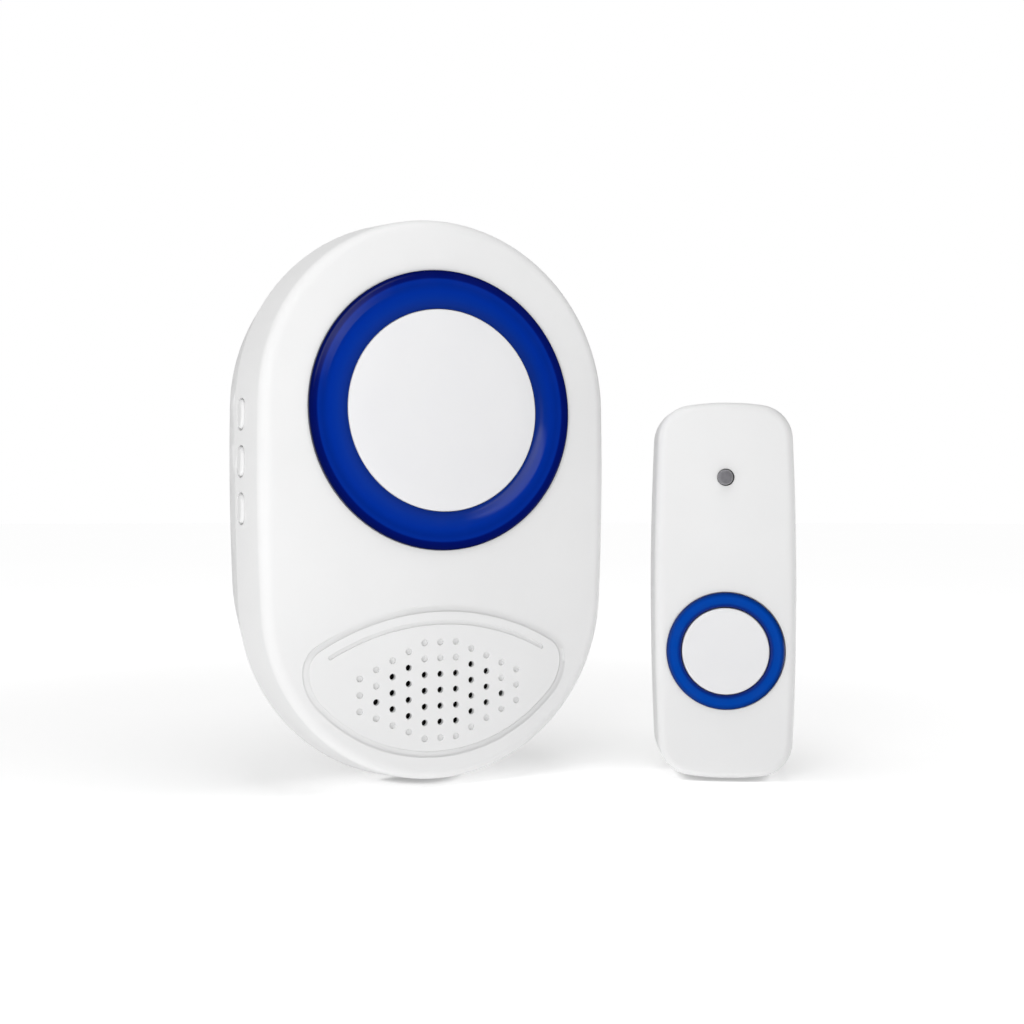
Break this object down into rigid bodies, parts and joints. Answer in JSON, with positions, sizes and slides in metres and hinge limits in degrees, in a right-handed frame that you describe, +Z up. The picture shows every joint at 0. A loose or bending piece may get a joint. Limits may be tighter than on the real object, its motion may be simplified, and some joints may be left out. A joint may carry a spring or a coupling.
{
  "type": "wireless doorbell",
  "caption": "Wireless doorbell: an oval wall-hung chime with a blue light ring, speaker holes and side keys, and a slim push button with a blue-ringed cap.",
  "frame": {"origin": "centre of the keyhole's round hole on the receiver's back plane, where the wall screw sits", "axes": "+Y out of the receiver's back, into the wall; +Z up; +X to the right seen from the front"},
  "size_m": [0.1169, 0.0496, 0.12],
  "materials": {
    "shell_white": "gloss moulded ABS",
    "disc_white": "polished moulded ABS",
    "ring_blue": "deep blue clear acrylic, gloss",
    "ring_blue_light": "blue clear acrylic, gloss",
    "diffuser_white": "matt light guide plastic",
    "light_chip": "resin-filled light chips",
    "circuit_board": "green solder mask",
    "chip_black": "matt epoxy",
    "copper": "bare copper wire",
    "steel": "zinc-plated steel",
    "nickel": "nickel-plated steel",
    "magnet_steel": "plated magnet cup",
    "switch_black": "matt moulded housing",
    "plunger_grey": "satin",
    "foam_black": "closed-cell foam",
    "foam_white": "double-sided foam tape",
    "cone_paper": "pressed paper",
    "cell_wrap": "printed film wrap without marks",
    "lamp_smoked": "smoked epoxy dome"
  },
  "bodies": {
    "receiver": {"receiver_front_shell": "shell_white", "receiver_rear_shell": "shell_white", "receiver_light_ring": "ring_blue", "receiver_centre_disc": "disc_white", "receiver_reflector": "diffuser_white", "receiver_light_chips": "light_chip", "receiver_circuit_board": "circuit_board", "receiver_chips": "chip_black", "receiver_radio_coil": "copper", "case_screws": "steel", "board_screws": "steel", "side_switches": "switch_black", "speaker_gasket": "foam_black", "speaker_frame": "steel", "speaker_cone": "cone_paper", "speaker_magnet": "magnet_steel", "battery_cell_upper": "cell_wrap", "battery_cell_middle": "cell_wrap", "battery_cell_lower": "cell_wrap", "battery_plates": "nickel", "battery_springs": "nickel", "push_back_plate": "shell_white", "push_adhesive_pad": "foam_white"},
    "side_key_upper": {"side_button_upper": "shell_white", "side_plunger_upper": "plunger_grey"},
    "side_key_middle": {"side_button_middle": "shell_white", "side_plunger_middle": "plunger_grey"},
    "side_key_lower": {"side_button_lower": "shell_white", "side_plunger_lower": "plunger_grey"},
    "door": {"battery_door": "shell_white"},
    "push_case": {"push_front_shell": "shell_white", "push_ring": "ring_blue_light", "push_switch": "switch_black", "push_circuit_board": "circuit_board", "push_chips": "chip_black", "push_radio_coil": "copper", "push_indicator_lamp": "lamp_smoked", "push_board_screws": "steel", "push_cell": "cell_wrap", "push_cell_plates": "nickel", "push_cell_spring": "nickel"},
    "push_cap": {"push_button_cap": "disc_white", "push_plunger": "plunger_grey"}
  },
  "joints": [
    {"name": "side_key_upper_press", "type": "slide", "parent": "receiver", "child": "side_key_upper", "axis": [1, 0, 0], "range_m": [0, 0.0006], "stiffness_N_per_m": 2000},
    {"name": "side_key_middle_press", "type": "slide", "parent": "receiver", "child": "side_key_middle", "axis": [1, 0, 0], "range_m": [0, 0.0006], "stiffness_N_per_m": 2000},
    {"name": "side_key_lower_press", "type": "slide", "parent": "receiver", "child": "side_key_lower", "axis": [1, 0, 0], "range_m": [0, 0.0006], "stiffness_N_per_m": 2000},
    {"name": "battery_door_swing", "type": "hinge", "parent": "receiver", "child": "door", "pos_m": [0, 0, -0.04825], "axis": [-1, 0, 0], "range_deg": [0, 40]},
    {"name": "push_case_pull", "type": "slide", "parent": "receiver", "child": "push_case", "axis": [-0.5105, -0.8599, 0], "range_m": [0, 0.015]},
    {"name": "push_cap_press", "type": "slide", "parent": "push_case", "child": "push_cap", "axis": [0.5105, 0.8599, 0], "range_m": [0, 0.0006], "stiffness_N_per_m": 2500}
  ]
}
